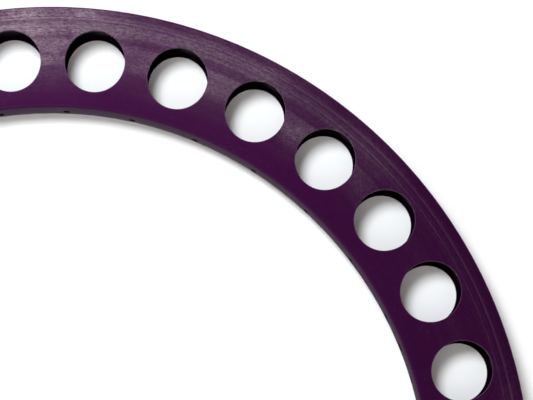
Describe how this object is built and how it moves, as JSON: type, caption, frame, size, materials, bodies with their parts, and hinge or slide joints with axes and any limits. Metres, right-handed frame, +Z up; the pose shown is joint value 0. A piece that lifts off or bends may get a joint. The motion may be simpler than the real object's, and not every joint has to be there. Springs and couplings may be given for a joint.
{
  "type": "bicycle rim",
  "caption": "Deep-section hollow aluminium wheel rim with round cut-outs through both side walls, spoke holes, a valve hole and a pinned and sleeved butt joint.",
  "frame": {"origin": "wheel centre: on the rim's axis, in the middle plane between the side walls", "axes": "+Y along the wheel's axis, away from the pictured side; +Z up; the valve hole lies 22 degrees above +X in the XZ plane"},
  "size_m": [0.634, 0.022, 0.634],
  "materials": {
    "anodised_aluminium": "satin purple anodised, turned brake tracks",
    "mill_aluminium": "plain mill finish"
  },
  "bodies": {
    "root": {"rim_hoop": "anodised_aluminium", "joint_sleeve": "mill_aluminium", "joint_pin_front": "mill_aluminium", "joint_pin_back": "mill_aluminium"}
  },
  "joints": []
}
